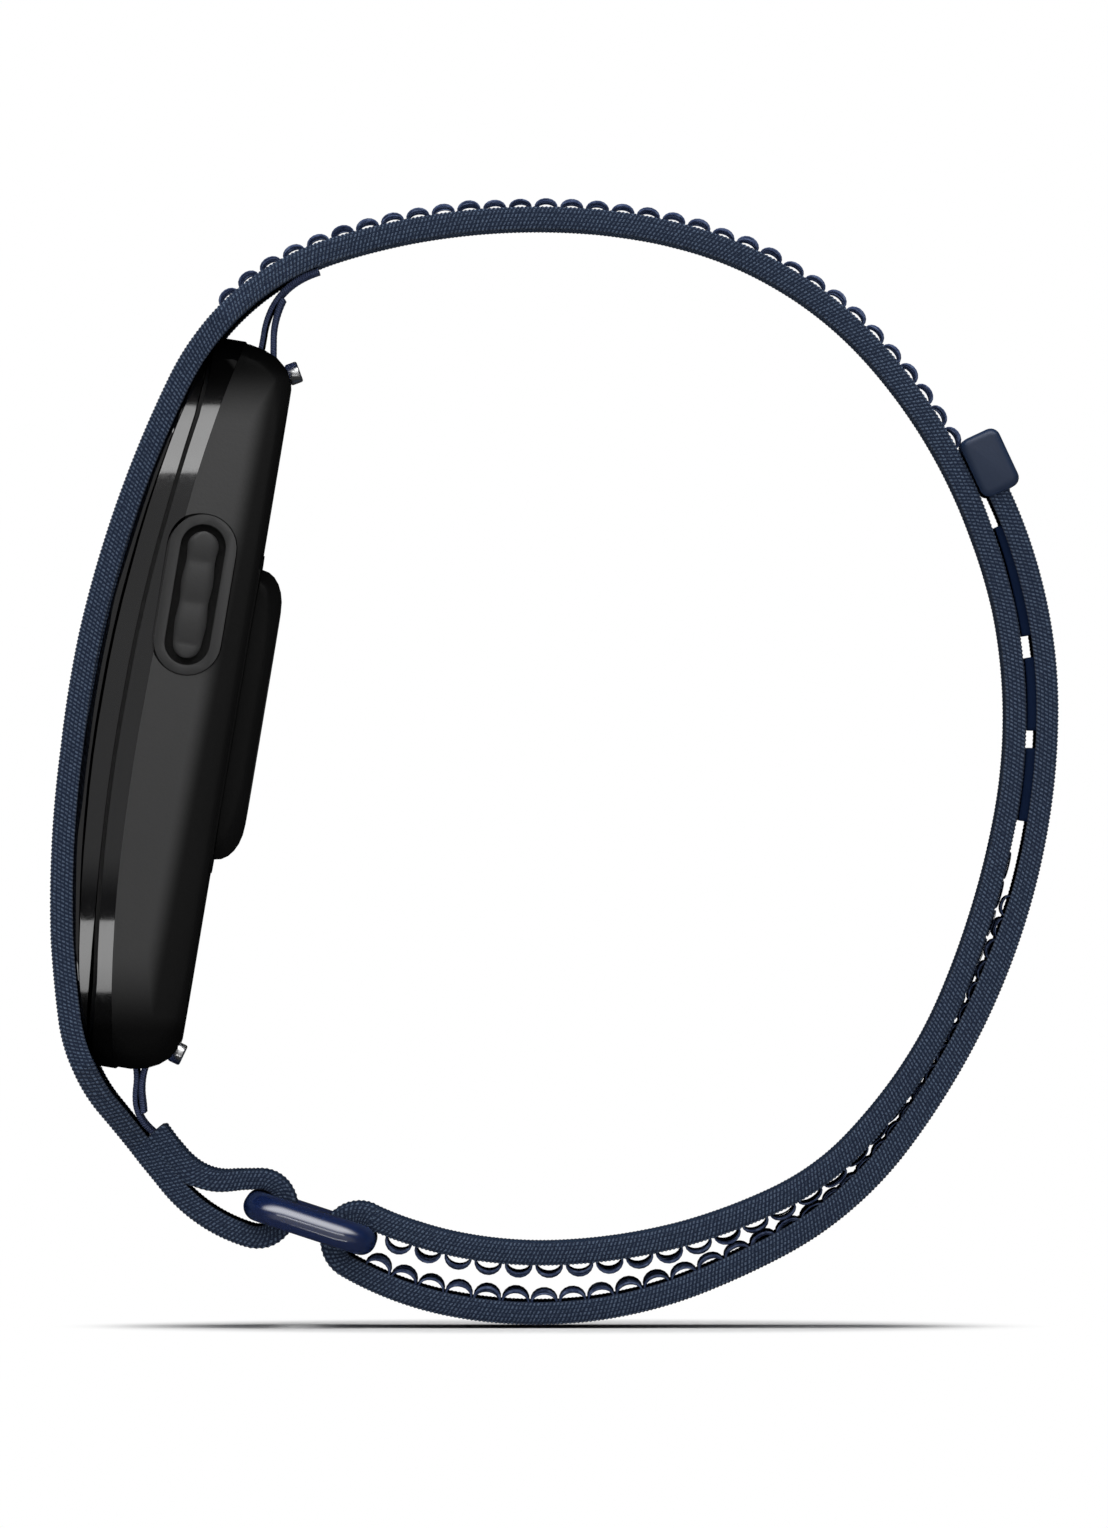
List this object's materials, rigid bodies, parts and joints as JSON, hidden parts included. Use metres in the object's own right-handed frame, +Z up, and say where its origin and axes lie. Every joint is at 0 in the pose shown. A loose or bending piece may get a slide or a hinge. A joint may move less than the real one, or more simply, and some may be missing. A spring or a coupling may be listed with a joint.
{
  "type": "fitness tracker band",
  "caption": "Rectangular fitness tracker pod in a one-piece hook-and-loop nylon wrist strap with a display window, an oval ring and quick-release spring bars.",
  "frame": {"origin": "on the floor under the middle of the closed loop, half way across the strap", "axes": "+Z up, +X from the pod towards the overlapping tail, +Y across the wrist away from the side button"},
  "size_m": [0.0627, 0.031, 0.0707],
  "materials": {
    "glass": "polished black display glass, dark with no picture",
    "display": "switched-off display panel",
    "gloss_black": "piano-black gloss",
    "seal_rubber": "matt black",
    "case_plastic": "fine matt charcoal",
    "button_plastic": "fine matt charcoal",
    "screw_steel": "blackened steel",
    "sensor_glass": "infrared-black window",
    "baffle_plastic": "matt black",
    "circuit_board": "solder mask",
    "led": "clear green",
    "chip": "moulded epoxy",
    "tinned_steel": "stamped sheet",
    "battery_foil": "foil pouch",
    "flex_circuit": "polyimide film",
    "contact_gold": "gold plated",
    "bar_steel": "stainless steel",
    "lever_steel": "polished steel",
    "spring_wire": "drawn wire",
    "lug_ribbon": "satin ribbon, navy with a lavender sheen",
    "strap_nylon": "woven navy nylon",
    "loop_yarn": "loose navy yarn",
    "ring_gloss": "gloss navy",
    "tab_plastic": "satin navy",
    "hook_plastic": "moulded micro-hooks"
  },
  "bodies": {
    "tracker": {"cover_glass": "glass", "display_panel": "display", "front_bezel": "gloss_black", "upper_frame": "gloss_black", "seam_gasket": "seal_rubber", "back_gasket": "seal_rubber", "button_seal": "seal_rubber", "mid_case": "case_plastic", "back_cover": "case_plastic", "sensor_dome": "case_plastic", "button_bezel": "case_plastic", "back_cover_screws": "screw_steel", "sensor_window": "sensor_glass", "light_baffle": "baffle_plastic", "sensor_board": "circuit_board", "main_board": "circuit_board", "sensor_leds": "led", "photodiodes": "chip", "board_chips": "chip", "shield_can": "tinned_steel", "haptic_can": "tinned_steel", "button_switch": "tinned_steel", "battery": "battery_foil", "display_flex": "flex_circuit", "side_flex": "flex_circuit", "charging_contacts": "contact_gold", "upper_bar_tube": "bar_steel", "upper_fixed_tip": "bar_steel", "lower_bar_tube": "bar_steel", "lower_fixed_tip": "bar_steel", "upper_spring": "spring_wire", "lower_spring": "spring_wire", "upper_lug_ribbon": "lug_ribbon", "lower_lug_ribbon": "lug_ribbon", "strap_window_panel": "strap_nylon", "strap_over_wrist": "strap_nylon", "strap_short_end": "strap_nylon", "strap_ring_turn": "strap_nylon", "strap_tail": "strap_nylon", "loops_outer": "loop_yarn", "loops_lower": "loop_yarn", "loops_tail": "loop_yarn"},
    "button": {"button_cap": "button_plastic"},
    "upper_release": {"upper_moving_tip": "bar_steel", "upper_lever": "lever_steel"},
    "lower_release": {"lower_moving_tip": "bar_steel", "lower_lever": "lever_steel"},
    "ring": {"strap_ring": "ring_gloss"},
    "tail_flap": {"strap_tail_end": "strap_nylon", "end_tab": "tab_plastic", "hook_pads": "hook_plastic"},
    "vibrator": {"haptic_mass": "tinned_steel"}
  },
  "joints": [
    {"name": "button_press", "type": "slide", "parent": "tracker", "child": "button", "axis": [0, 1, 0], "range_m": [0, 0.0004], "stiffness_N_per_m": 1500},
    {"name": "upper_release_slide", "type": "slide", "parent": "tracker", "child": "upper_release", "axis": [0, 1, 0], "range_m": [0, 0.0012], "stiffness_N_per_m": 800, "springref_m": -0.001, "deforming": ["upper_spring"]},
    {"name": "lower_release_slide", "type": "slide", "parent": "tracker", "child": "lower_release", "axis": [0, 1, 0], "range_m": [0, 0.0012], "stiffness_N_per_m": 800, "springref_m": -0.001, "deforming": ["lower_spring"]},
    {"name": "ring_float", "type": "slide", "parent": "tracker", "child": "ring", "axis": [0, 1, 0], "range_m": [-0.0004, 0.0004]},
    {"name": "tail_peel", "type": "hinge", "parent": "tracker", "child": "tail_flap", "pos_m": [0.02996, 0, 0.02709], "axis": [0, 1, 0], "range_deg": [0, 70]},
    {"name": "vibrator_slide", "type": "slide", "parent": "tracker", "child": "vibrator", "axis": [0.9863, 0, -0.165], "range_m": [-0.0003, 0.0003], "stiffness_N_per_m": 2000}
  ]
}
